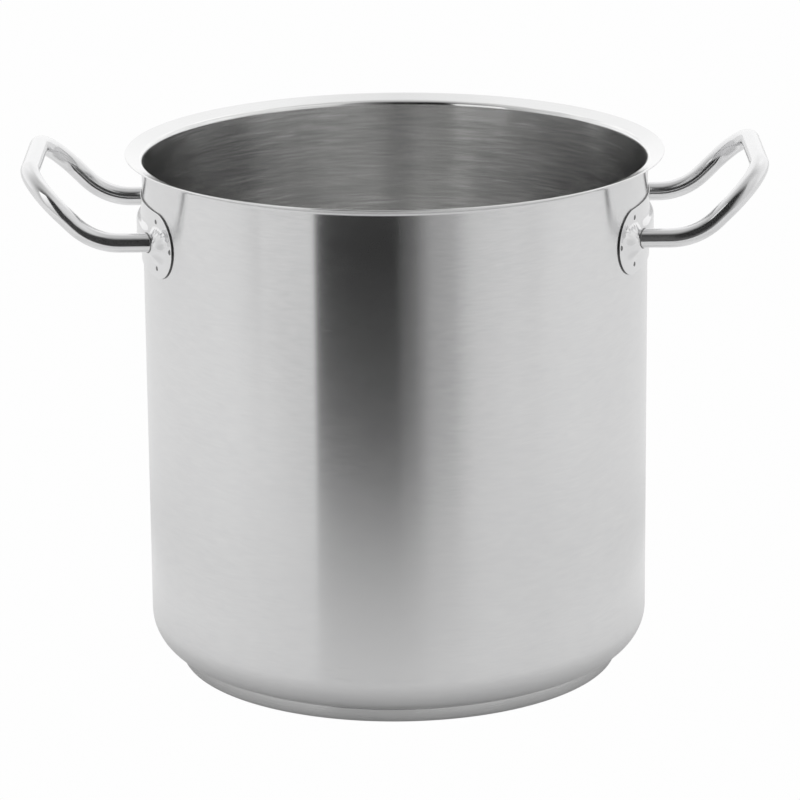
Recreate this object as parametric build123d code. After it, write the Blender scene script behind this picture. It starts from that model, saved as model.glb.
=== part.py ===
"""Stock pot: drawn steel body with a flared rim, sandwich base and two welded tube handles.

Millimetres, +Z up. The origin is the centre of the base's underside, and the handles point along X.
"""

import math
import os

from build123d import *

# Body
inner_diameter = 280.0
wall = 0.8
total_height = 294.0
corner_radius = 22.0
rim_radius = 149.9
rim_slope = 20.0
rim_bend_radius = 3.0
rim_edge_radius = 0.35

# Sandwich base
base_radius = 124.3
base_height = 8.0
cap_sheet = 0.8
cap_bottom_radius = 2.6
body_bottom = 7.5

# Handle tube
tube_diameter = 10.5
tube_wall = 1.2
leg_spacing = 112.0
leg_height = 254.8
leg_bend_x = 165.0
leg_bend_radius = 36.0
rise_angle = 45.0
grip_x = 200.4
grip_corner_radius = 26.8
tube_end_x = 132.6

# Handle plate
plate_sheet = 1.0
plate_height = 36.2
plate_centre_z = 253.0
plate_half_arc = 75.9
boss_height = 6.0
boss_length = 29.0
boss_tall = 22.0
boss_slope = 38.0
boss_depth = 8.0
bridge_height = 3.4
bridge_tall = 18.0
bridge_half_arc = 47.0
bridge_slope = 30.0
overrun = 10.0

# Welds
bead_width = 1.0
bead_height = 0.9
spot_diameter = 2.4
spot_dimple = 0.35
spot_end_arc = 73.5
spot_side_arc = 55.8
spot_side_rise = 13.1
spot_end_drop = 0.2

wall_radius = inner_diameter / 2 + wall
tube_radius = tube_diameter / 2
leg_y = leg_spacing / 2


def ring(inner, outer, low, high):
    """A plain vertical ring between two radii and two heights."""
    middle = (low + high) / 2
    solid = Pos(0, 0, middle) * Cylinder(outer, high - low)
    return solid - Pos(0, 0, middle) * Cylinder(inner, high - low)


def at_wall(arc, height, radius):
    """A place on the right-hand side of the wall, with its local Z pointing straight out."""
    angle = math.degrees(arc / wall_radius)
    turn = Rot(0, 0, angle)
    return turn * Pos(radius, 0, height) * Rot(0, 90, 0) * Rot(0, 0, 90)


def polar(radius, angle):
    """A point at an angle from the X axis of the section plane."""
    return radius * math.cos(math.radians(angle)), radius * math.sin(math.radians(angle))


# ---- body: one section, turned about the axis
slope = math.radians(rim_slope)
edge_loss = rim_edge_radius * (math.cos(slope) + math.sin(slope) - 1)
lip_x = rim_radius + edge_loss - wall * math.sin(slope)
lip_z = total_height + edge_loss
bend_x = wall_radius + rim_bend_radius - wall
inner_bend = rim_bend_radius
outer_bend = rim_bend_radius - wall
bend_end = 90.0 + rim_slope
flange_run = lip_x - bend_x + inner_bend * math.sin(slope)
bend_z = lip_z - flange_run * math.tan(slope) - inner_bend * math.cos(slope)


def bend_point(radius, angle):
    """A point on the rim's bend."""
    x, z = polar(radius, angle)
    return bend_x + x, bend_z + z


corner_x = wall_radius - corner_radius
corner_z = body_bottom + corner_radius
inner_corner = corner_radius - wall
mid_angle = (180.0 + bend_end) / 2
out_mid = polar(corner_radius, -45.0)
in_mid = polar(inner_corner, -45.0)
lip_under = (lip_x + wall * math.sin(slope), lip_z - wall * math.cos(slope))
with BuildPart() as body_part:
    with BuildSketch(Plane.XZ):
        with BuildLine():
            Line((0, body_bottom), (corner_x, body_bottom))
            ThreePointArc(
                (corner_x, body_bottom),
                (corner_x + out_mid[0], corner_z + out_mid[1]),
                (wall_radius, corner_z),
            )
            Line((wall_radius, corner_z), bend_point(outer_bend, 180.0))
            ThreePointArc(
                bend_point(outer_bend, 180.0),
                bend_point(outer_bend, mid_angle),
                bend_point(outer_bend, bend_end),
            )
            Line(bend_point(outer_bend, bend_end), lip_under)
            Line(lip_under, (lip_x, lip_z))
            Line((lip_x, lip_z), bend_point(inner_bend, bend_end))
            ThreePointArc(
                bend_point(inner_bend, bend_end),
                bend_point(inner_bend, mid_angle),
                bend_point(inner_bend, 180.0),
            )
            Line(bend_point(inner_bend, 180.0), (wall_radius - wall, corner_z))
            ThreePointArc(
                (wall_radius - wall, corner_z),
                (corner_x + in_mid[0], corner_z + in_mid[1]),
                (corner_x, body_bottom + wall),
            )
            Line((corner_x, body_bottom + wall), (0, body_bottom + wall))
            Line((0, body_bottom + wall), (0, body_bottom))
        make_face()
    revolve(axis=Axis.Z)
pot_body = body_part.part
lip_edges = pot_body.edges().filter_by(GeomType.CIRCLE).sort_by(SortBy.RADIUS)[-2:]
pot_body = fillet(lip_edges, rim_edge_radius)

# ---- base: the steel cup and the disc that fills it
cap_outside = Pos(0, 0, base_height / 2) * Cylinder(base_radius, base_height)
cap_outside = fillet(cap_outside.edges().group_by(Axis.Z)[0], cap_bottom_radius)
core_radius = base_radius - cap_sheet
core_space = Pos(0, 0, (cap_sheet + base_height) / 2) * Cylinder(core_radius, base_height - cap_sheet)
core_space = fillet(core_space.edges().group_by(Axis.Z)[0], cap_bottom_radius - cap_sheet)
base_cap = cap_outside - core_space
core_trim = Pos(0, 0, body_bottom / 2) * Cylinder(base_radius, body_bottom)
base_core = core_space & core_trim

# ---- handle tube: straight runs joined by tangent arcs
grip_z = leg_height + (grip_x - leg_bend_x) * math.tan(math.radians(rise_angle))
corners = [
    (tube_end_x, -leg_y, leg_height),
    (leg_bend_x, -leg_y, leg_height),
    (grip_x, -leg_y, grip_z),
    (grip_x, leg_y, grip_z),
    (leg_bend_x, leg_y, leg_height),
    (tube_end_x, leg_y, leg_height),
]
bends = [leg_bend_radius, grip_corner_radius, grip_corner_radius, leg_bend_radius]
route = FilletPolyline(*corners, radius=bends)
start = Plane(origin=corners[0], z_dir=(1, 0, 0))
section = start * (Circle(tube_radius) - Circle(tube_radius - tube_wall))
handle_tube = sweep(section, path=route)

# ---- handle plate: a rounded strip bent to the wall, with two bosses and a lower bridge between them
plate_radius = wall_radius + plate_sheet
boss_radius = wall_radius + boss_height
bridge_radius = wall_radius + bridge_height
low_z = plate_centre_z - plate_height
high_z = plate_centre_z + plate_height
end_radius = plate_height / 2
leg_angle = math.degrees(math.asin(leg_y / wall_radius))
leg_arc = math.radians(leg_angle) * wall_radius
end_centre_arc = plate_half_arc - end_radius


def wall_slice(arc, low, tall):
    """A wedge from the axis that holds the part of the wall between plus and minus an arc length."""
    x, y = polar(2 * wall_radius, math.degrees(arc / wall_radius))
    wedge = Polygon((0, 0), (x, -y), (x, y), align=None)
    return Pos(0, 0, low) * extrude(wedge, amount=tall)


def post(arc, height, radius):
    """A round post that stands straight out of the wall and reaches through it."""
    return at_wall(arc, height, wall_radius) * Cylinder(radius, 2 * overrun)


def tapered(place, length, tall, depth, slope):
    """A slot-shaped block that narrows as it leaves the wall."""
    return place * extrude(SlotOverall(length, tall), amount=depth, taper=slope)


def boss_block(sign, shrink, outer_radius):
    """One boss, or the hollow inside it when shrunk by the sheet."""
    place = at_wall(sign * leg_arc, plate_centre_z, wall_radius)
    block = tapered(place, boss_length - shrink, boss_tall - shrink, boss_depth, boss_slope)
    return block & ring(wall_radius, outer_radius, low_z, high_z)


def bridge_block(shrink, outer_radius):
    """The low rib that joins the two bosses, or the hollow inside it."""
    tall = bridge_tall - shrink
    half = tall / 2
    narrow = half - bridge_height * math.tan(math.radians(bridge_slope))
    reach = wall_radius + bridge_height
    profile = Polygon(
        (wall_radius, plate_centre_z - half),
        (reach, plate_centre_z - narrow),
        (reach, plate_centre_z + narrow),
        (wall_radius, plate_centre_z + half),
        align=None,
    )
    turned = revolve(Plane.XZ * profile, axis=Axis.Z)
    wedge = wall_slice(bridge_half_arc, low_z, high_z - low_z)
    return turned & wedge & ring(wall_radius, outer_radius, low_z, high_z)


plate = wall_slice(end_centre_arc, plate_centre_z - end_radius, plate_height)
plate = plate & ring(wall_radius, plate_radius, low_z, high_z)
for sign in (-1, 1):
    rounded_end = post(sign * end_centre_arc, plate_centre_z, end_radius)
    plate = plate + (rounded_end & ring(wall_radius, plate_radius, low_z, high_z))
plate = plate + bridge_block(0.0, bridge_radius)
for sign in (-1, 1):
    plate = plate + boss_block(sign, 0.0, boss_radius)
plate = plate - bridge_block(2 * plate_sheet, bridge_radius - plate_sheet)
for sign in (-1, 1):
    plate = plate - boss_block(sign, 2 * plate_sheet, boss_radius - plate_sheet)


def leg_bar(y, radius):
    """A bar along one level leg of the handle, through the plate."""
    return Pos(boss_radius, y, leg_height) * Rot(0, 90, 0) * Cylinder(radius, 4 * overrun)


for y in (-leg_y, leg_y):
    plate = plate - leg_bar(y, tube_radius)

# ---- spot welds: three around each boss
spots = []
for sign in (-1, 1):
    spots.append((sign * spot_end_arc, plate_centre_z - spot_end_drop))
    spots.append((sign * spot_side_arc, plate_centre_z - spot_side_rise))
    spots.append((sign * spot_side_arc, plate_centre_z + spot_side_rise))
spot_welds = []
for arc, height in spots:
    pin = post(arc, height, spot_diameter / 2)
    plate = plate - pin
    nugget = pin & ring(wall_radius, plate_radius - spot_dimple, low_z, high_z)
    spot_welds.append(nugget.solids()[0])

# ---- weld beads: a low collar round each leg, on the boss
tube_welds = []
for y in (-leg_y, leg_y):
    collar = leg_bar(y, tube_radius + bead_width) - leg_bar(y, tube_radius)
    bead = collar & ring(boss_radius, boss_radius + bead_height, low_z, high_z)
    tube_welds.append(bead.solids()[0])


def write(name, shape):
    """Write one named piece."""
    shape.label = name
    export_step(shape, f"parts/{name}.step")


def other_side(shape):
    """The same piece on the left of the pot."""
    return mirror(shape, about=Plane.YZ)


os.makedirs("parts", exist_ok=True)
write("pot_body", pot_body)
write("base_cap", base_cap)
write("base_core", base_core)
write("right_handle_tube", handle_tube)
write("left_handle_tube", other_side(handle_tube))
write("right_handle_plate", plate)
write("left_handle_plate", other_side(plate))
write("right_tube_welds", Compound(children=tube_welds))
write("left_tube_welds", Compound(children=[other_side(bead) for bead in tube_welds]))
write("right_spot_welds", Compound(children=spot_welds))
write("left_spot_welds", Compound(children=[other_side(nugget) for nugget in spot_welds]))
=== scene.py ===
import math

import bmesh
import bpy
from mathutils import Matrix, Vector


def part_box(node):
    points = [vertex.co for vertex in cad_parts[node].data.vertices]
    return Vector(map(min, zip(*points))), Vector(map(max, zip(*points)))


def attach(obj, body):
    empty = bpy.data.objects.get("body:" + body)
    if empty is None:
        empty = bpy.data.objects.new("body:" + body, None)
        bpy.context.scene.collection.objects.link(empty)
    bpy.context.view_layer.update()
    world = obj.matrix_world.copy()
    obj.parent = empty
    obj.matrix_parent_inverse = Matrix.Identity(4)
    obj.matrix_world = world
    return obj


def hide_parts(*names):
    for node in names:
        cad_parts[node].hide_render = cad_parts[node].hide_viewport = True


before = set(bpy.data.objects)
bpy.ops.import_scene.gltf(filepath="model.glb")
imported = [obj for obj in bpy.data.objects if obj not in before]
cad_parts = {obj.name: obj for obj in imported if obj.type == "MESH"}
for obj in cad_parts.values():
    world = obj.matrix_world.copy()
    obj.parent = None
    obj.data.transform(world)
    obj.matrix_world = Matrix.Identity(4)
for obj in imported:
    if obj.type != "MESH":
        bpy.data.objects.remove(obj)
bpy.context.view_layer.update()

TAU = 2.0 * math.pi
MM = 0.001

# ---------------------------------------------------------------------------
# Sizes, in metres, from the pieces of the frame
# ---------------------------------------------------------------------------
body_low, body_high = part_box("pot_body")
cap_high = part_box("base_cap")[1]
plate_low, plate_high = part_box("right_handle_plate")
tube_low, tube_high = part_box("right_handle_tube")
rim_radius = body_high.x
rim_top = body_high.z
bottom_z = body_low.z
cap_radius = cap_high.x
cap_height = cap_high.z

# body
SHEET = 0.8 * MM
CORNER = 22.0 * MM
RIM_BEND = 3.0 * MM
RIM_SLOPE = 20.0
WALL_RADIUS = 140.8 * MM

# handle plate, with a boss at each leg and a low bridge between them
PLATE_SHEET = 1.0 * MM
EDGE_TALL = 0.75 * MM
EDGE_EASE = 0.4 * MM
PLATE_END = (plate_high.z - plate_low.z) / 2
PLATE_Z = (plate_high.z + plate_low.z) / 2
PLATE_HALF = WALL_RADIUS * math.asin(plate_high.y / (WALL_RADIUS + PLATE_SHEET))
BOSS_HEIGHT = 6.0 * MM
BOSS_HALF_ARC = 15.3 * MM
BOSS_HALF_TALL = 11.6 * MM
CREASE_DEPTH = 0.10 * MM
CREASES_PER_TURN = 22
BRIDGE_HEIGHT = 3.4 * MM
BRIDGE_HALF_ARC = 50.0 * MM
BRIDGE_HALF_TALL = 9.4 * MM

# handle tube
TUBE_RADIUS = 5.25 * MM
LEG_Y = tube_high.y - TUBE_RADIUS
LEG_Z = tube_low.z + TUBE_RADIUS
GRIP_X = tube_high.x - TUBE_RADIUS
GRIP_Z = tube_high.z - TUBE_RADIUS
TUBE_START_X = tube_low.x
LEG_BEND_X = GRIP_X - (GRIP_Z - LEG_Z)
LEG_BEND = 36.0 * MM
GRIP_BEND = 26.8 * MM

# welds
BEAD_RADIUS = 0.45 * MM
BEAD_SINK = 0.1 * MM
BEAD_RIPPLES = 16
BEAD_RIPPLE_DEPTH = 0.12
SPOT_RADIUS = 1.2 * MM
SPOT_DIMPLE = 0.35 * MM
SPOT_LIP = 1.08
SPOT_LIP_DROP = 0.1 * MM
SPOT_REACH = 0.8 * MM
SPOT_WELL = 0.6 * MM
SPOT_END_ARC = 73.5 * MM
SPOT_SIDE_ARC = 55.8 * MM
SPOT_SIDE_RISE = 13.1 * MM
SPOT_END_DROP = 0.2 * MM


# ---------------------------------------------------------------------------
# Mesh tools
# ---------------------------------------------------------------------------
def new_piece(name, verts, faces, slots=None):
    """One smooth mesh object, with an optional finish number for each face."""
    mesh = bpy.data.meshes.new(name)
    mesh.from_pydata(verts, [], faces)
    mesh.validate()
    bm = bmesh.new()
    bm.from_mesh(mesh)
    bmesh.ops.recalc_face_normals(bm, faces=bm.faces)
    bm.to_mesh(mesh)
    bm.free()
    for polygon in mesh.polygons:
        polygon.use_smooth = True
        if slots:
            polygon.material_index = slots[polygon.index]
    piece = bpy.data.objects.new(name, mesh)
    bpy.context.scene.collection.objects.link(piece)
    return piece


def arc_points(centre, radius, start, end, steps):
    """Points along an arc in the section plane, angles in degrees."""
    points = []
    for step in range(steps + 1):
        angle = math.radians(start + (end - start) * step / steps)
        points.append((centre[0] + radius * math.cos(angle), centre[1] + radius * math.sin(angle)))
    return points


def run_points(start, end, steps):
    """Points along a straight run, without its two ends."""
    return [
        (start[0] + (end[0] - start[0]) * step / steps, start[1] + (end[1] - start[1]) * step / steps)
        for step in range(1, steps)
    ]


def turned(name, section, around, closed_section, finish=None):
    """A turned piece from a section of (radius, height) points.
    An open section starts and ends on the axis; a closed one is a ring."""
    verts, faces, slots = [], [], []
    rows = []
    for radius, height in section:
        if radius < 1e-7:
            rows.append([len(verts)] * around)
            verts.append((0.0, 0.0, height))
            continue
        rows.append(list(range(len(verts), len(verts) + around)))
        for step in range(around):
            angle = TAU * step / around
            verts.append((radius * math.cos(angle), radius * math.sin(angle), height))
    last = len(rows) if closed_section else len(rows) - 1
    for number in range(last):
        low, high = rows[number], rows[(number + 1) % len(rows)]
        for step in range(around):
            other = (step + 1) % around
            corners = [low[step], low[other], high[other], high[step]]
            unique = []
            for corner in corners:
                if corner not in unique:
                    unique.append(corner)
            if len(unique) > 2:
                faces.append(unique)
                slots.append(finish(number) if finish else 0)
    return new_piece(name, verts, faces, slots)


def swept(name, path, radius_at, around):
    """A closed round bar along a list of points, its ends capped."""
    verts, faces = [], []
    tangents = []
    for number, point in enumerate(path):
        before = path[max(number - 1, 0)]
        after = path[min(number + 1, len(path) - 1)]
        tangents.append((after - before).normalized())
    side = tangents[0].orthogonal().normalized()
    for number, point in enumerate(path):
        tangent = tangents[number]
        side = (side - tangent * side.dot(tangent)).normalized()
        up = tangent.cross(side)
        radius = radius_at(number / (len(path) - 1))
        for step in range(around):
            angle = TAU * step / around
            verts.append(tuple(point + radius * (side * math.cos(angle) + up * math.sin(angle))))
    for number in range(len(path) - 1):
        base, above = number * around, (number + 1) * around
        for step in range(around):
            other = (step + 1) % around
            faces.append([base + step, base + other, above + other, above + step])
    faces.append(list(range(around)))
    faces.append(list(range((len(path) - 1) * around, len(path) * around)))
    return new_piece(name, verts, faces)


def mirrored(piece, name):
    """The same piece on the other side of the pot."""
    mesh = piece.data.copy()
    mesh.name = name
    mesh.transform(Matrix.Diagonal((-1.0, 1.0, 1.0, 1.0)))
    mesh.flip_normals()
    twin = bpy.data.objects.new(name, mesh)
    bpy.context.scene.collection.objects.link(twin)
    return twin


def smooth_step(low, high, value):
    """0 below low, 1 above high, and a smooth rise between them."""
    share = min(max((value - low) / (high - low), 0.0), 1.0)
    return share * share * (3.0 - 2.0 * share)


# ---------------------------------------------------------------------------
# Shader node groups
# ---------------------------------------------------------------------------
def group_of(name, inputs, outputs):
    """An empty node group with float inputs and float or vector outputs."""
    tree = bpy.data.node_groups.new(name, "ShaderNodeTree")
    for label, value in inputs:
        socket = tree.interface.new_socket(name=label, in_out="INPUT", socket_type="NodeSocketFloat")
        socket.default_value = value
    for label, kind in outputs:
        tree.interface.new_socket(name=label, in_out="OUTPUT", socket_type=kind)
    return tree, tree.nodes.new("NodeGroupInput"), tree.nodes.new("NodeGroupOutput")


def link(tree, source, target):
    """Join two sockets."""
    tree.links.new(source, target)


def maths(tree, operation, first, second=None, third=None):
    """A Math node fed by sockets or numbers; gives its output socket."""
    node = tree.nodes.new("ShaderNodeMath")
    node.operation = operation
    for socket, value in zip(node.inputs, (first, second, third)):
        if value is None:
            continue
        if isinstance(value, (int, float)):
            socket.default_value = value
        else:
            link(tree, value, socket)
    return node.outputs[0]


def from_axis(tree, x, y):
    """The distance from the upright axis; gives its output socket."""
    squares = maths(tree, "ADD", maths(tree, "MULTIPLY", x, x), maths(tree, "MULTIPLY", y, y))
    return maths(tree, "SQRT", squares)


def blended(tree, first, first_share, second, second_share):
    """Two values added, each with its own share; gives its output socket."""
    return maths(
        tree,
        "ADD",
        maths(tree, "MULTIPLY", first, first_share),
        maths(tree, "MULTIPLY", second, second_share),
    )


def ranged(tree, value, from_low, from_high, to_low, to_high):
    """A Map Range node, clamped; gives its output socket."""
    node = tree.nodes.new("ShaderNodeMapRange")
    for name, given in (
        ("Value", value),
        ("From Min", from_low),
        ("From Max", from_high),
        ("To Min", to_low),
        ("To Max", to_high),
    ):
        if isinstance(given, (int, float)):
            node.inputs[name].default_value = given
        else:
            link(tree, given, node.inputs[name])
    return node.outputs["Result"]


def noise(tree, vector, scale, detail, roughness=0.5):
    """A noise pattern; gives its value socket."""
    node = tree.nodes.new("ShaderNodeTexNoise")
    node.inputs["Detail"].default_value = detail
    node.inputs["Roughness"].default_value = roughness
    if isinstance(scale, (int, float)):
        node.inputs["Scale"].default_value = scale
    else:
        link(tree, scale, node.inputs["Scale"])
    link(tree, vector, node.inputs["Vector"])
    return node.outputs["Fac"]


AXIS_GUARD = 2.0 * MM
BROAD_LENGTH = 0.5
BROAD_FINENESS = 0.16
SCRATCH_LENGTH = 0.9
SCRATCH_FINENESS = 1.6
FINE_SHARE = 0.7
BROAD_SHARE = 0.3
SCRATCH_START = 0.78
SCRATCH_GAIN = 0.2
SCRATCH_EDGE = 0.06
CLOUD_SIZE = 14.0


def turned_grain_group():
    """Fine brushed lines that run round the pot's axis, on walls and on flat faces alike."""
    tree, given, made = group_of(
        "turned_grain",
        [("Line Length", 3.0), ("Line Fineness", 900.0), ("Scratch Amount", 0.3)],
        [("Lines", "NodeSocketFloat"), ("Scratches", "NodeSocketFloat"), ("Cloud", "NodeSocketFloat")],
    )
    place = tree.nodes.new("ShaderNodeTexCoord")
    split = tree.nodes.new("ShaderNodeSeparateXYZ")
    link(tree, place.outputs["Object"], split.inputs[0])
    x, y, z = split.outputs
    radius = from_axis(tree, x, y)
    safe = maths(tree, "MAXIMUM", radius, AXIS_GUARD)
    across = maths(tree, "ADD", radius, z)

    def lines(length_scale, fineness_scale):
        length = maths(tree, "MULTIPLY", given.outputs["Line Length"], length_scale)
        fineness = maths(tree, "MULTIPLY", given.outputs["Line Fineness"], fineness_scale)
        joined = tree.nodes.new("ShaderNodeCombineXYZ")
        link(tree, maths(tree, "MULTIPLY", maths(tree, "DIVIDE", x, safe), length), joined.inputs[0])
        link(tree, maths(tree, "MULTIPLY", maths(tree, "DIVIDE", y, safe), length), joined.inputs[1])
        link(tree, maths(tree, "MULTIPLY", across, fineness), joined.inputs[2])
        return joined.outputs[0]

    fine = noise(tree, lines(1.0, 1.0), 1.0, 3.0, 0.6)
    broad = noise(tree, lines(BROAD_LENGTH, BROAD_FINENESS), 1.0, 2.0, 0.5)
    mixed = blended(tree, fine, FINE_SHARE, broad, BROAD_SHARE)
    sparse = noise(tree, lines(SCRATCH_LENGTH, SCRATCH_FINENESS), 1.0, 0.0, 0.4)
    gain = maths(tree, "MULTIPLY", given.outputs["Scratch Amount"], SCRATCH_GAIN)
    threshold = maths(tree, "SUBTRACT", SCRATCH_START, gain)
    full = maths(tree, "ADD", threshold, SCRATCH_EDGE)
    scratches = ranged(tree, sparse, threshold, full, 0.0, 1.0)
    cloud = noise(tree, place.outputs["Object"], CLOUD_SIZE, 3.0, 0.55)
    link(tree, mixed, made.inputs["Lines"])
    link(tree, scratches, made.inputs["Scratches"])
    link(tree, cloud, made.inputs["Cloud"])
    return tree


HAIR_STRETCH = (1.0, 0.25, 1.0)
HAIR_TURN = (0.3, 0.2, 0.6)
HAIR_START = 0.60
HAIR_FULL = 0.72
WIPE_HEIGHT = 0.6
HAIR_HEIGHT = 0.15


def polish_marks_group():
    """Faint wipe marks and hair scratches of a hand-polished surface."""
    tree, given, made = group_of(
        "polish_marks",
        [("Mark Size", 60.0), ("Hair Size", 900.0)],
        [("Wipe", "NodeSocketFloat"), ("Hairs", "NodeSocketFloat"), ("Height", "NodeSocketFloat")],
    )
    place = tree.nodes.new("ShaderNodeTexCoord")
    stretch = tree.nodes.new("ShaderNodeMapping")
    stretch.inputs["Scale"].default_value = HAIR_STRETCH
    stretch.inputs["Rotation"].default_value = HAIR_TURN
    link(tree, place.outputs["Object"], stretch.inputs["Vector"])
    wipe = noise(tree, place.outputs["Object"], given.outputs["Mark Size"], 3.0, 0.6)
    hair = noise(tree, stretch.outputs["Vector"], given.outputs["Hair Size"], 2.0, 0.6)
    hairs = ranged(tree, hair, HAIR_START, HAIR_FULL, 0.0, 1.0)
    height = blended(tree, wipe, WIPE_HEIGHT, hairs, HAIR_HEIGHT)
    link(tree, wipe, made.inputs["Wipe"])
    link(tree, hairs, made.inputs["Hairs"])
    link(tree, height, made.inputs["Height"])
    return tree


TURNED_GRAIN = turned_grain_group()
POLISH_MARKS = polish_marks_group()


def new_material(name):
    """A metal with one Principled shader, fully metallic."""
    material = bpy.data.materials.new(name)
    material.use_nodes = True
    tree = material.node_tree
    shader = tree.nodes["Principled BSDF"]
    shader.inputs["Metallic"].default_value = 1.0
    return material, tree, shader


def placed(tree, group, **values):
    """A group node in a material, with its own values."""
    node = tree.nodes.new("ShaderNodeGroup")
    node.node_tree = group
    for label, value in values.items():
        node.inputs[label.replace("_", " ")].default_value = value
    return node


def tone_between(tree, share, dark, light):
    """A colour between two greys of steel."""
    mix = tree.nodes.new("ShaderNodeMix")
    mix.data_type = "RGBA"
    mix.inputs["A"].default_value = (*dark, 1.0)
    mix.inputs["B"].default_value = (*light, 1.0)
    link(tree, share, mix.inputs["Factor"])
    return mix.outputs["Result"]


LINES_TONE = 0.75
CLOUD_TONE = 0.25
SCRATCH_ROUGH = 0.06
HAIR_ROUGH = 0.03


def grey_of(level):
    """A neutral grey."""
    return (level, level, level)


def brushed_steel(name, dark, light, rough, rough_spread, depth, scratches, length, fineness, stretch):
    """Steel brushed round the axis: reflections stretch up and down and stay crisp sideways."""
    material, tree, shader = new_material(name)
    grain = placed(
        tree, TURNED_GRAIN, Line_Length=length, Line_Fineness=fineness, Scratch_Amount=scratches
    )
    share = blended(tree, grain.outputs["Lines"], LINES_TONE, grain.outputs["Cloud"], CLOUD_TONE)
    spread = ranged(tree, share, 0.36, 0.64, 0.0, 1.0)
    link(tree, tone_between(tree, spread, dark, light), shader.inputs["Base Color"])
    lines = ranged(tree, grain.outputs["Lines"], 0.3, 0.7, rough - rough_spread, rough + rough_spread)
    scuffed = blended(tree, lines, 1.0, grain.outputs["Scratches"], SCRATCH_ROUGH)
    link(tree, scuffed, shader.inputs["Roughness"])
    bump = tree.nodes.new("ShaderNodeBump")
    bump.inputs["Strength"].default_value = 1.0
    bump.inputs["Distance"].default_value = depth
    height = maths(tree, "SUBTRACT", grain.outputs["Lines"], grain.outputs["Scratches"])
    link(tree, height, bump.inputs["Height"])
    link(tree, bump.outputs["Normal"], shader.inputs["Normal"])
    shader.inputs["Anisotropic"].default_value = stretch
    shader.inputs["Anisotropic Rotation"].default_value = 0.25
    round_axis = tree.nodes.new("ShaderNodeTangent")
    round_axis.direction_type = "RADIAL"
    round_axis.axis = "Z"
    link(tree, round_axis.outputs["Tangent"], shader.inputs["Tangent"])
    return material


def polished_steel(name, dark, light, rough, rough_spread, depth, mark_size, hair_size):
    """Bright polished steel with faint wipe marks."""
    material, tree, shader = new_material(name)
    marks = placed(tree, POLISH_MARKS, Mark_Size=mark_size, Hair_Size=hair_size)
    link(tree, tone_between(tree, marks.outputs["Wipe"], dark, light), shader.inputs["Base Color"])
    wiped = ranged(tree, marks.outputs["Wipe"], 0.3, 0.7, rough - rough_spread, rough + rough_spread)
    haired = blended(tree, wiped, 1.0, marks.outputs["Hairs"], HAIR_ROUGH)
    link(tree, haired, shader.inputs["Roughness"])
    bump = tree.nodes.new("ShaderNodeBump")
    bump.inputs["Strength"].default_value = 1.0
    bump.inputs["Distance"].default_value = depth
    link(tree, marks.outputs["Height"], bump.inputs["Height"])
    link(tree, bump.outputs["Normal"], shader.inputs["Normal"])
    return material


outside_steel = brushed_steel(
    "outside_steel",
    dark=(0.745, 0.745, 0.75),
    light=grey_of(0.80),
    rough=0.20,
    rough_spread=0.010,
    depth=1.0e-6,
    scratches=0.0,
    length=20.0,
    fineness=1600.0,
    stretch=1.0,
)
inside_steel = brushed_steel(
    "inside_steel",
    dark=grey_of(0.76),
    light=(0.98, 0.98, 0.97),
    rough=0.17,
    rough_spread=0.02,
    depth=3.0e-6,
    scratches=0.45,
    length=6.0,
    fineness=1000.0,
    stretch=1.0,
)
base_steel = brushed_steel(
    "base_steel",
    dark=grey_of(0.66),
    light=grey_of(0.73),
    rough=0.26,
    rough_spread=0.02,
    depth=3.0e-6,
    scratches=0.2,
    length=8.0,
    fineness=1400.0,
    stretch=0.8,
)

# polished metals: (dark, light, roughness, its spread, bump depth in metres, mark size, hair size)
rim_steel = polished_steel("rim_steel", grey_of(0.81), grey_of(0.86), 0.13, 0.02, 1.0e-6, 40.0, 700.0)
tube_steel = polished_steel("tube_steel", (0.80, 0.80, 0.81), grey_of(0.87), 0.12, 0.02, 3.0e-7, 55.0, 900.0)
plate_steel = polished_steel(
    "plate_steel", (0.78, 0.78, 0.79), grey_of(0.84), 0.12, 0.03, 4.0e-6, 90.0, 1200.0
)
# near-black painted shade for the plate's edge faces, standing in for the shade of the gap between plate and
# wall
painted_edge_shade = polished_steel("painted_edge_shade", grey_of(0.10), grey_of(0.16), 0.45, 0.06, 1.0e-5, 500.0, 2500.0)
# dark weld colour: partly the weld's own heat tint, partly painted shade for the dark crescent where each
# tube enters its boss and for the dark centres of the spot dimples
weld_tint_and_painted_shade = polished_steel("weld_tint_and_painted_shade", grey_of(0.12), grey_of(0.30), 0.35, 0.08, 3.0e-5, 900.0, 2500.0)
core_metal = polished_steel(
    "core_metal", (0.78, 0.78, 0.79), (0.84, 0.84, 0.85), 0.40, 0.05, 1.0e-5, 200.0, 1500.0
)

# the tubes' polish is a little dulled by handling
TUBE_METALLIC = 0.89
tube_steel.node_tree.nodes["Principled BSDF"].inputs["Metallic"].default_value = TUBE_METALLIC


# ---------------------------------------------------------------------------
# Pot: drawn body with its rim
# ---------------------------------------------------------------------------
AROUND = 288
slope = math.radians(RIM_SLOPE)
bend_x = WALL_RADIUS + RIM_BEND - SHEET
outer_bend = RIM_BEND - SHEET
lip_round = SHEET / 2
lip_centre = (rim_radius - lip_round, rim_top - lip_round)
middle_bend = RIM_BEND - lip_round
flange_run = lip_centre[0] - bend_x + middle_bend * math.sin(slope)
bend_z = lip_centre[1] - flange_run * math.tan(slope) - middle_bend * math.cos(slope)
bend_end = 90.0 + RIM_SLOPE
corner_x = WALL_RADIUS - CORNER
corner_z = bottom_z + CORNER

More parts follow.
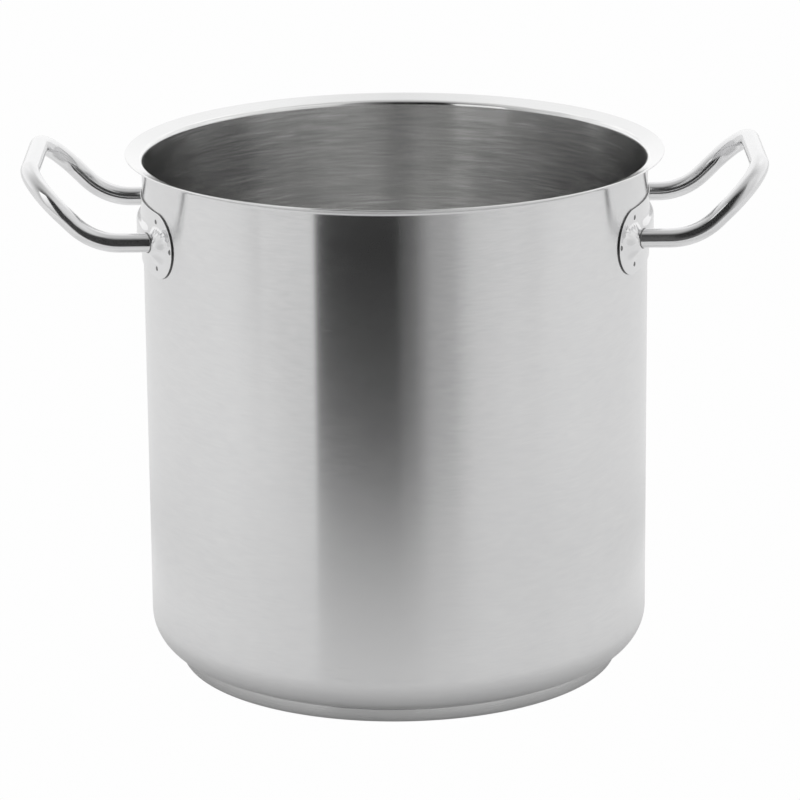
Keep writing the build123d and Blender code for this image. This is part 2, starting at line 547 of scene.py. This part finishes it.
under_bend = arc_points((bend_x, bend_z), outer_bend, 180.0, bend_end, 12)
over_bend = arc_points((bend_x, bend_z), RIM_BEND, bend_end, 180.0, 16)
lip = arc_points(lip_centre, lip_round, RIM_SLOPE - 90.0, RIM_SLOPE + 90.0, 12)
outside = [(0.0, bottom_z)] + run_points((0.0, bottom_z), (corner_x, bottom_z), 6)
outside += arc_points((corner_x, corner_z), CORNER, -90.0, 0.0, 28)
outside += run_points((WALL_RADIUS, corner_z), (WALL_RADIUS, bend_z), 16)
outside += under_bend + run_points(under_bend[-1], lip[0], 4)
FLANGE_RUNS = 6
inside = run_points(lip[-1], over_bend[0], FLANGE_RUNS) + over_bend
inside += run_points((WALL_RADIUS - SHEET, bend_z), (WALL_RADIUS - SHEET, corner_z), 16)
inside += arc_points((corner_x, corner_z), CORNER - SHEET, 0.0, -90.0, 28)
inside += run_points((corner_x, bottom_z + SHEET), (0.0, bottom_z + SHEET), 6)
inside += [(0.0, bottom_z + SHEET)]
edge = lip
outside_count = len(outside) - 3
rim_end = len(outside) + len(edge) + FLANGE_RUNS


BODY_METALS = (outside_steel, rim_steel, inside_steel)
OUTSIDE, RIM, INSIDE = range(len(BODY_METALS))


def body_finish(number):
    """The finish of one band of the body's section: outside wall, rim or inside wall."""
    if number < outside_count:
        return OUTSIDE
    return RIM if number < rim_end else INSIDE


pot_shell = turned("pot_shell", outside + edge + inside, AROUND, False, body_finish)
for material in BODY_METALS:
    pot_shell.data.materials.append(material)
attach(pot_shell, "root")
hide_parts("pot_body")

# ---------------------------------------------------------------------------
# Base: the steel cup under the pot
# ---------------------------------------------------------------------------
CAP_BOTTOM_ROUND = 2.6 * MM
CAP_TOP_ROUND = 0.5 * MM
CAP_SHEET = 0.8 * MM
CAP_LIP_DROP = 0.1 * MM
cap = [(0.0, 0.0)] + run_points((0.0, 0.0), (cap_radius - CAP_BOTTOM_ROUND, 0.0), 8)
cap += arc_points((cap_radius - CAP_BOTTOM_ROUND, CAP_BOTTOM_ROUND), CAP_BOTTOM_ROUND, -90.0, 0.0, 12)
cap += arc_points((cap_radius - CAP_TOP_ROUND, cap_height - CAP_TOP_ROUND), CAP_TOP_ROUND, 0.0, 90.0, 5)
cap += [(cap_radius - CAP_SHEET, cap_height - CAP_LIP_DROP)]
cap += [(cap_radius - CAP_SHEET, CAP_BOTTOM_ROUND)]
inner_round = CAP_BOTTOM_ROUND - CAP_SHEET
cap += arc_points((cap_radius - CAP_BOTTOM_ROUND, CAP_BOTTOM_ROUND), inner_round, 0.0, -90.0, 6)
cap += [(0.0, CAP_SHEET)]
base_cup = turned("base_cup", cap, AROUND, False)
base_cup.data.materials.append(base_steel)
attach(base_cup, "root")
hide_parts("base_cap")

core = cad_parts["base_core"]
core.data.materials.clear()
core.data.materials.append(core_metal)


# ---------------------------------------------------------------------------
# Handle tubes
# ---------------------------------------------------------------------------
def rounded_route(corners, radii, steps):
    """Points along straight runs joined by tangent arcs."""
    route = [corners[0]]
    for number in range(1, len(corners) - 1):
        corner = corners[number]
        back = (corners[number - 1] - corner).normalized()
        ahead = (corners[number + 1] - corner).normalized()
        half = back.angle(ahead) / 2
        radius = radii[number - 1]
        start = corner + back * (radius / math.tan(half))
        centre = corner + (back + ahead).normalized() * (radius / math.sin(half))
        axis = (start - centre).cross(back).normalized()
        sweep = math.pi - 2 * half
        first = route[-1]
        for step in range(1, steps):
            route.append(first.lerp(start, step / steps))
        for step in range(steps * 2 + 1):
            turn = Matrix.Rotation(-sweep * step / (steps * 2), 3, axis)
            route.append(centre + turn @ (start - centre))
    first = route[-1]
    for step in range(1, steps + 1):
        route.append(first.lerp(corners[-1], step / steps))
    return route


corners = [
    Vector((TUBE_START_X, -LEG_Y, LEG_Z)),
    Vector((LEG_BEND_X, -LEG_Y, LEG_Z)),
    Vector((GRIP_X, -LEG_Y, GRIP_Z)),
    Vector((GRIP_X, LEG_Y, GRIP_Z)),
    Vector((LEG_BEND_X, LEG_Y, LEG_Z)),
    Vector((TUBE_START_X, LEG_Y, LEG_Z)),
]
route = rounded_route(corners, [LEG_BEND, GRIP_BEND, GRIP_BEND, LEG_BEND], 14)
right_tube = swept("right_tube", route, lambda share: TUBE_RADIUS, 56)
left_tube = mirrored(right_tube, "left_tube")


# ---------------------------------------------------------------------------
# Handle plates
# ---------------------------------------------------------------------------
BOSS_ARC = WALL_RADIUS * math.asin(LEG_Y / WALL_RADIUS)
SPOTS = []
for sign in (-1, 1):
    SPOTS.append((sign * SPOT_END_ARC, -SPOT_END_DROP))
    SPOTS.append((sign * SPOT_SIDE_ARC, -SPOT_SIDE_RISE))
    SPOTS.append((sign * SPOT_SIDE_ARC, SPOT_SIDE_RISE))


# where each rise of the plate starts and ends, as shares of its half size
BRIDGE_FLANK = (0.45, 1.0)
BRIDGE_END = (0.70, 1.0)
BOSS_FLANK = (0.22, 1.0)
BOSS_POWER = 2.3
# the creases fan out over the upper, outer part of each boss: angles in radians
CREASE_START = (0.10, 0.35)
CREASE_STOP = (1.75, 2.05)
CREASE_INNER = (0.55, 0.80)
CREASE_OUTER = (1.05, 1.25)


def bump_between(starts, stops, value):
    """0, then 1 between two smooth steps, then 0 again."""
    return smooth_step(*starts, value) * (1.0 - smooth_step(*stops, value))


def plate_rise(arc, tall):
    """How far the plate's face stands off the wall, at an arc length and a height from its middle line."""
    across = abs(tall) / BRIDGE_HALF_TALL
    along = abs(arc) / BRIDGE_HALF_ARC
    bridge = (1.0 - smooth_step(*BRIDGE_FLANK, across)) * (1.0 - smooth_step(*BRIDGE_END, along))
    rise = bridge * (BRIDGE_HEIGHT - PLATE_SHEET)
    for sign in (-1, 1):
        out = abs((arc - sign * BOSS_ARC) / BOSS_HALF_ARC)
        up = abs(tall / BOSS_HALF_TALL)
        reach = (out**BOSS_POWER + up**BOSS_POWER) ** (1 / BOSS_POWER)
        boss = 1.0 - smooth_step(*BOSS_FLANK, reach)
        rise = max(rise, boss * (BOSS_HEIGHT - PLATE_SHEET))
        turn = math.atan2(tall, sign * arc - BOSS_ARC)
        fold = bump_between(CREASE_START, CREASE_STOP, turn)
        band = bump_between(CREASE_INNER, CREASE_OUTER, reach)
        rise += CREASE_DEPTH * fold * band * math.sin(turn * CREASES_PER_TURN)
    rise += PLATE_SHEET
    for spot_arc, spot_tall in SPOTS:
        away = math.hypot(arc - spot_arc, tall - spot_tall)
        rise -= SPOT_WELL * (1.0 - smooth_step(0.75 * SPOT_RADIUS, 1.25 * SPOT_RADIUS, away))
    return rise


def on_wall(arc, height, rise):
    """A point at a rise off the right-hand side of the wall."""
    angle = arc / WALL_RADIUS
    radius = WALL_RADIUS + rise
    return (radius * math.cos(angle), radius * math.sin(angle), height)


PLATE_FACE = 0
# the plate's edge faces carry the painted shade of its gap against the wall
SHADED_EDGE = 1


def plate_outline(inset, count_end, count_run):
    """The rounded outline of the plate, drawn inwards by an inset, as (arc, height from the middle)."""
    half_run = PLATE_HALF - PLATE_END
    radius = PLATE_END - inset
    points = []
    for step in range(count_end):
        angle = -math.pi / 2 + math.pi * step / count_end
        points.append((half_run + radius * math.cos(angle), radius * math.sin(angle)))
    for step in range(count_run):
        points.append((half_run - 2 * half_run * step / count_run, radius))
    for step in range(count_end):
        angle = math.pi / 2 + math.pi * step / count_end
        points.append((-half_run + radius * math.cos(angle), radius * math.sin(angle)))
    for step in range(count_run):
        points.append((-half_run + 2 * half_run * step / count_run, -radius))
    return points


def handle_plate(name):
    """A pressed plate: cut edge coloured near-black as painted shade of its gap against the wall, eased
    corner, face and plain back.
    """
    count_end, count_run = 60, 170
    ease_steps, ring_count = 6, 36
    # each ring of points is (inset from the outline, rise off the wall, whether it is on the pressed face)
    rings = [(0.0, 0.0, False), (0.0, EDGE_TALL, False)]
    for step in range(1, ease_steps + 1):
        angle = math.pi / 2 * step / ease_steps
        inset = EDGE_EASE * (1.0 - math.cos(angle))
        rings.append((inset, EDGE_TALL + (PLATE_SHEET - EDGE_TALL) * math.sin(angle), False))
    for step in range(1, ring_count):
        inset = EDGE_EASE + (PLATE_END - EDGE_EASE) * step / ring_count
        rings.append((inset, 0.0, True))
    verts, faces, slots = [], [], []
    for inset, rise, pressed in rings:
        for arc, tall in plate_outline(inset, count_end, count_run):
            lift = plate_rise(arc, tall) if pressed else rise
            verts.append(on_wall(arc, PLATE_Z + tall, lift))
    around = 2 * (count_end + count_run)
    for number in range(len(rings) - 1):
        base, above = number * around, (number + 1) * around
        for step in range(around):
            other = (step + 1) % around
            faces.append([base + step, base + other, above + other, above + step])
            slots.append(SHADED_EDGE if number == 0 else PLATE_FACE)
    # the face's last ring closes along the middle line
    last = (len(rings) - 1) * around
    close_strip(verts, faces, last, count_end, count_run, None)
    # the back is one smooth skin against the wall
    close_strip(verts, faces, 0, count_end, count_run, 0.0)
    slots += [PLATE_FACE] * (len(faces) - len(slots))
    plate = new_piece(name, verts, faces, slots)
    for polygon in plate.data.polygons:
        polygon.use_smooth = polygon.material_index == PLATE_FACE
    return plate


def close_strip(verts, faces, start, count_end, count_run, rise):
    """Closes a ring of plate points with a strip along its middle line."""
    around = 2 * (count_end + count_run)
    half_run = PLATE_HALF - PLATE_END
    middle = []
    for step in range(count_run + 1):
        arc = half_run - 2 * half_run * step / count_run
        lift = plate_rise(arc, 0.0) if rise is None else rise
        middle.append(len(verts))
        verts.append(on_wall(arc, PLATE_Z, lift))
    for step in range(count_end):
        faces.append([start + step, start + step + 1, middle[0]])
    for step in range(count_run):
        top = start + count_end + step
        faces.append([top, top + 1, middle[step + 1], middle[step]])
    left = start + count_end + count_run
    for step in range(count_end):
        faces.append([left + step, left + step + 1, middle[-1]])
    under = left + count_end
    for step in range(count_run):
        first = under + step
        second = start + (under - start + step + 1) % around
        faces.append([first, second, middle[count_run - step - 1], middle[count_run - step]])


right_plate = handle_plate("right_plate")
left_plate = mirrored(right_plate, "left_plate")


# ---------------------------------------------------------------------------
# Welds
# ---------------------------------------------------------------------------
def joined(name, parts):
    """Several meshes in one object."""
    bm = bmesh.new()
    for part in parts:
        bm.from_mesh(part.data)
        bpy.data.objects.remove(part)
    mesh = bpy.data.meshes.new(name)
    bm.to_mesh(mesh)
    bm.free()
    for polygon in mesh.polygons:
        polygon.use_smooth = True
    piece = bpy.data.objects.new(name, mesh)
    bpy.context.scene.collection.objects.link(piece)
    return piece


def weld_bead(name, leg_y):
    """A thin rippled bead round one leg, where it meets the boss."""
    along, around = 96, 14
    verts, faces = [], []
    reach = WALL_RADIUS + BOSS_HEIGHT
    centres = []
    for step in range(along):
        angle = TAU * step / along
        y = leg_y + TUBE_RADIUS * math.cos(angle)
        z = LEG_Z + TUBE_RADIUS * math.sin(angle)
        centres.append(Vector((math.sqrt(reach * reach - y * y) - BEAD_SINK, y, z)))
    for step in range(along):
        centre = centres[step]
        tangent = (centres[(step + 1) % along] - centres[step - 1]).normalized()
        side = Vector((1.0, 0.0, 0.0))
        side = (side - tangent * side.dot(tangent)).normalized()
        up = tangent.cross(side)
        ripple = BEAD_RADIUS * (1.0 + BEAD_RIPPLE_DEPTH * math.sin(TAU * step * BEAD_RIPPLES / along))
        for turn in range(around):
            angle = TAU * turn / around
            verts.append(tuple(centre + ripple * (side * math.cos(angle) + up * math.sin(angle))))
    for step in range(along):
        base, above = step * around, (step + 1) % along * around
        for turn in range(around):
            other = (turn + 1) % around
            faces.append([base + turn, base + other, above + other, above + turn])
    return new_piece(name, verts, faces)


def spot_weld(name, arc, tall):
    """A small dished mark pressed in the plate."""
    steps, around = 6, 28
    verts, faces = [], []
    profile = [(0.0, -SPOT_DIMPLE)]
    for step in range(1, steps + 1):
        share = step / steps
        profile.append((SPOT_RADIUS * share, -SPOT_DIMPLE * (1.0 - share**3)))
    profile.append((SPOT_RADIUS * SPOT_LIP, -SPOT_LIP_DROP))
    profile.append((SPOT_RADIUS, -SPOT_REACH))
    profile.append((0.0, -SPOT_REACH))
    rows = []
    for out, rise in profile:
        if out == 0.0:
            rows.append([len(verts)] * around)
            verts.append(on_wall(arc, PLATE_Z + tall, PLATE_SHEET + rise))
            continue
        rows.append(list(range(len(verts), len(verts) + around)))
        for turn in range(around):
            angle = TAU * turn / around
            spot_arc = arc + out * math.cos(angle)
            height = PLATE_Z + tall + out * math.sin(angle)
            verts.append(on_wall(spot_arc, height, PLATE_SHEET + rise))
    for number in range(len(rows) - 1):
        low, high = rows[number], rows[number + 1]
        for turn in range(around):
            other = (turn + 1) % around
            loop = []
            for corner in (low[turn], low[other], high[other], high[turn]):
                if corner not in loop:
                    loop.append(corner)
            faces.append(loop)
    return new_piece(name, verts, faces)


right_beads = joined("right_beads", [weld_bead("bead", -LEG_Y), weld_bead("bead", LEG_Y)])
left_beads = mirrored(right_beads, "left_beads")
right_spots = joined("right_spots", [spot_weld("spot", arc, tall) for arc, tall in SPOTS])
left_spots = mirrored(right_spots, "left_spots")

for piece, node, slot, material in (
    (right_tube, "right_handle_tube", "polished_tube", tube_steel),
    (left_tube, "left_handle_tube", "polished_tube", tube_steel),
    (right_plate, "right_handle_plate", "polished_plate", plate_steel),
    (left_plate, "left_handle_plate", "polished_plate", plate_steel),
    (right_beads, "right_tube_welds", "weld_steel", weld_tint_and_painted_shade),
    (left_beads, "left_tube_welds", "weld_steel", weld_tint_and_painted_shade),
    (right_spots, "right_spot_welds", "weld_steel", weld_tint_and_painted_shade),
    (left_spots, "left_spot_welds", "weld_steel", weld_tint_and_painted_shade),
):
    piece.data.materials.append(material)
    if slot == "polished_plate":
        piece.data.materials.append(painted_edge_shade)
    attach(piece, "root")
    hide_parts(node)


# ---------------------------------------------------------------------------
# Floor, light and camera
# ---------------------------------------------------------------------------
# Not chosen by hand: a separate least-squares program made the levels of light in FLOOR_GLOW, STUDIO and
# FRONT_WALL, for the one view that the camera below gives. Six of STUDIO's high lights were then scaled up.
# The camera's place, angles and lens came from a fitting program too. OVERHEAD was given, not fitted.

# the even white that floor and sky show to the eye
SEEN_WHITE = 0.99

# painted glow of the floor in the steel's reflections, dimmest close to the pot as painted shade round its
# foot: (distance from the pot's axis in metres, light)
FLOOR_GLOW = [(0.12, 0.15), (0.17, 0.36), (0.24, 0.48), (0.34, 0.34), (0.50, 0.44)]


def ramp_of(tree, position, stops, column, low, high):
    """A ramp of greys along a position that runs from low to high."""
    ramp = tree.nodes.new("ShaderNodeValToRGB")
    ramp.color_ramp.interpolation = "LINEAR"
    points = ramp.color_ramp.elements
    while len(points) > 1:
        points.remove(points[-1])
    for number, stop in enumerate(stops):
        place = (stop[0] - low) / (high - low)
        point = points[0] if number == 0 else points.new(place)
        point.position = place
        point.color = (stop[column], stop[column], stop[column], 1.0)
    link(tree, ranged(tree, position, low, high, 0.0, 1.0), ramp.inputs[0])
    return ramp.outputs[0]


def mixed_colour(tree, share, first, second):
    """A blend of two colours; the second may be a plain grey."""
    mix = tree.nodes.new("ShaderNodeMix")
    mix.data_type = "RGBA"
    link(tree, share, mix.inputs["Factor"])
    link(tree, first, mix.inputs["A"])
    if isinstance(second, (int, float)):
        mix.inputs["B"].default_value = (second, second, second, 1.0)
    else:
        link(tree, second, mix.inputs["B"])
    return mix.outputs["Result"]


def floor_material():
    """A pale floor: plain white to the eye; in the steel's reflections a grey lit by the studio plus a
    painted glow, dimmest next to the pot as painted shade round its foot.
    """
    material = bpy.data.materials.new("pale_floor")
    material.use_nodes = True
    tree = material.node_tree
    shader = tree.nodes["Principled BSDF"]
    place = tree.nodes.new("ShaderNodeTexCoord")
    mottle = noise(tree, place.outputs["Object"], 3.0, 2.0)
    grey = tone_between(tree, mottle, (0.53, 0.53, 0.53), (0.57, 0.57, 0.57))
    link(tree, grey, shader.inputs["Base Color"])
    shader.inputs["Roughness"].default_value = 0.9
    shader.inputs["Specular IOR Level"].default_value = 0.0
    split = tree.nodes.new("ShaderNodeSeparateXYZ")
    link(tree, place.outputs["Object"], split.inputs[0])
    x, y = split.outputs[0], split.outputs[1]
    away = from_axis(tree, x, y)
    # painted light: the floor glows in reflections, with painted shade where the glow dims next to the pot
    glow = ramp_of(tree, away, FLOOR_GLOW, 1, FLOOR_GLOW[0][0], FLOOR_GLOW[-1][0])
    link(tree, glow, shader.inputs["Emission Color"])
    shader.inputs["Emission Strength"].default_value = 1.0
    white = tree.nodes.new("ShaderNodeEmission")
    white.inputs["Color"].default_value = (SEEN_WHITE, SEEN_WHITE, SEEN_WHITE, 1.0)
    path = tree.nodes.new("ShaderNodeLightPath")
    seen = tree.nodes.new("ShaderNodeMixShader")
    link(tree, path.outputs["Is Camera Ray"], seen.inputs[0])
    link(tree, shader.outputs[0], seen.inputs[1])
    link(tree, white.outputs[0], seen.inputs[2])
    link(tree, seen.outputs[0], tree.nodes["Material Output"].inputs["Surface"])
    return material


def flat_sheet(name, corners, material):
    """A flat four-cornered sheet of the studio."""
    sheet = new_piece(name, corners, [[0, 1, 2, 3]])
    sheet.data.materials.append(material)
    return sheet


FLOOR_DROP = -0.2 * MM
FLOOR_REACH = 14.0
CARD_Y = -0.50
CARD_LEFT = -0.80
CARD_RIGHT = 0.004
CARD_TOP = 0.80
pale_floor = floor_material()
flat_sheet(
    "near_floor",
    [
        (-FLOOR_REACH, CARD_Y, FLOOR_DROP),
        (FLOOR_REACH, CARD_Y, FLOOR_DROP),
        (FLOOR_REACH, FLOOR_REACH, FLOOR_DROP),
        (-FLOOR_REACH, FLOOR_REACH, FLOOR_DROP),
    ],
    pale_floor,
)
far_floor = flat_sheet(
    "far_floor",
    [
        (-FLOOR_REACH, -FLOOR_REACH, FLOOR_DROP),
        (FLOOR_REACH, -FLOOR_REACH, FLOOR_DROP),
        (FLOOR_REACH, CARD_Y, FLOOR_DROP),
        (-FLOOR_REACH, CARD_Y, FLOOR_DROP),
    ],
    pale_floor,
)
far_floor.visible_glossy = False
far_floor.visible_diffuse = False

# light of the studio round the pot: (bearing in degrees, low light, high light);
# bearing 0 is straight in front of the pot, minus is to the left
STUDIO = [
    (-180, 1.07, 0.95),
    (-150, 1.05, 1.08),
    (-120, 1.03, 0.86),
    (-95, 0.98, 0.64),
    (-75, 0.78, 0.54),
    (-55, 0.52, 0.33),
    (-30, 0.00, 0.00),
    (0.4, 0.00, 0.00),
    (1.8, 0.05, 0.00),
    (8, 0.12, 0.03),
    (15.7, 0.35, 0.14),
    (26.4, 0.42, 0.22),
    (27.7, 0.48, 0.69),
    (35, 0.64, 0.71),
    (43.5, 0.69, 0.77),
    (55, 0.73, 0.83),
    (65, 0.69, 0.85),
    (80, 0.82, 0.84),
    (95, 0.96, 0.80),
    (120, 0.98, 0.93),
    (150, 1.06, 1.15),
    (180, 1.07, 0.95),
]
# overhead light, and the heights in degrees above level where the low, high and overhead lights hold
OVERHEAD = 0.60
LOW_HEIGHT = 12.0
HIGH_HEIGHT = 48.0
OVERHEAD_HEIGHT = 80.0

# light of the studio's front wall, which has a dark opening: (place across it in metres, low, high)
FRONT_WALL = [
    (-0.80, 0.589, 1.435),
    (-0.65, 0.533, 1.459),
    (-0.50, 0.521, 1.434),
    (-0.40, 0.532, 1.328),
    (-0.322, 0.576, 1.240),
    (-0.304, 0.059, 0.053),
    (-0.25, 0.000, 0.000),
    (-0.12, 0.000, 0.000),
    (0.004, 0.000, 0.000),
]


def studio_world():
    """A white studio all round, seen as plain white by the camera."""
    world = bpy.data.worlds.new("studio")
    bpy.context.scene.world = world
    world.use_nodes = True
    tree = world.node_tree
    tree.nodes.clear()
    out = tree.nodes.new("ShaderNodeOutputWorld")
    back = tree.nodes.new("ShaderNodeBackground")
    link(tree, back.outputs[0], out.inputs["Surface"])
    place = tree.nodes.new("ShaderNodeTexCoord")
    split = tree.nodes.new("ShaderNodeSeparateXYZ")
    link(tree, place.outputs["Generated"], split.inputs[0])
    x, y, z = split.outputs
    bearing = maths(tree, "ARCTAN2", x, maths(tree, "MULTIPLY", y, -1.0))
    degrees = maths(tree, "MULTIPLY", bearing, 180.0 / math.pi)
    height = maths(tree, "MULTIPLY", maths(tree, "ARCSINE", z), 180.0 / math.pi)
    low = ramp_of(tree, degrees, STUDIO, 1, -180.0, 180.0)
    high = ramp_of(tree, degrees, STUDIO, 2, -180.0, 180.0)
    rise = ranged(tree, height, LOW_HEIGHT, HIGH_HEIGHT, 0.0, 1.0)
    top = ranged(tree, height, HIGH_HEIGHT, OVERHEAD_HEIGHT, 0.0, 1.0)
    sides = mixed_colour(tree, rise, low, high)
    whole = mixed_colour(tree, top, sides, OVERHEAD)
    path = tree.nodes.new("ShaderNodeLightPath")
    seen = mixed_colour(tree, path.outputs["Is Camera Ray"], whole, SEEN_WHITE)
    link(tree, seen, back.inputs["Color"])
    back.inputs["Strength"].default_value = 1.0


def front_wall_material():
    """A glowing cloth wall with a dark opening in it."""
    material = bpy.data.materials.new("front_wall")
    material.use_nodes = True
    tree = material.node_tree
    tree.nodes.clear()
    out = tree.nodes.new("ShaderNodeOutputMaterial")
    glow = tree.nodes.new("ShaderNodeEmission")
    link(tree, glow.outputs[0], out.inputs["Surface"])
    place = tree.nodes.new("ShaderNodeTexCoord")
    split = tree.nodes.new("ShaderNodeSeparateXYZ")
    link(tree, place.outputs["Object"], split.inputs[0])
    x, z = split.outputs[0], split.outputs[2]
    low = ramp_of(tree, x, FRONT_WALL, 1, CARD_LEFT, CARD_RIGHT)
    high = ramp_of(tree, x, FRONT_WALL, 2, CARD_LEFT, CARD_RIGHT)
    rise = ranged(tree, z, 0.0, CARD_TOP, 0.0, 1.0)
    link(tree, mixed_colour(tree, rise, low, high), glow.inputs["Color"])
    return material


studio_world()
front_wall = flat_sheet(
    "front_wall",
    [
        (CARD_LEFT, CARD_Y, FLOOR_DROP),
        (CARD_RIGHT, CARD_Y, FLOOR_DROP),
        (CARD_RIGHT, CARD_Y, CARD_TOP),
        (CARD_LEFT, CARD_Y, CARD_TOP),
    ],
    front_wall_material(),
)
front_wall.visible_camera = False
front_wall.visible_shadow = False

CAMERA_PLACE = (0.0, -2.3006, 0.8081)
CAMERA_TILT = 16.007
CAMERA_PAN = 0.043
CAMERA_ROLL = -0.529
camera_data = bpy.data.cameras.new("camera")
camera_data.sensor_width = 36.0
camera_data.lens = 190.4
camera_data.clip_end = 50.0
camera = bpy.data.objects.new("camera", camera_data)
bpy.context.scene.collection.objects.link(camera)
aim = (
    Matrix.Rotation(-math.radians(CAMERA_PAN), 4, "Z")
    @ Matrix.Rotation(math.radians(90.0 - CAMERA_TILT), 4, "X")
    @ Matrix.Rotation(math.radians(CAMERA_ROLL), 4, "Z")
)
camera.matrix_world = Matrix.Translation(CAMERA_PLACE) @ aim
bpy.context.scene.camera = camera
bpy.context.scene.view_settings.view_transform = "Standard"
bpy.context.scene.view_settings.look = "None"
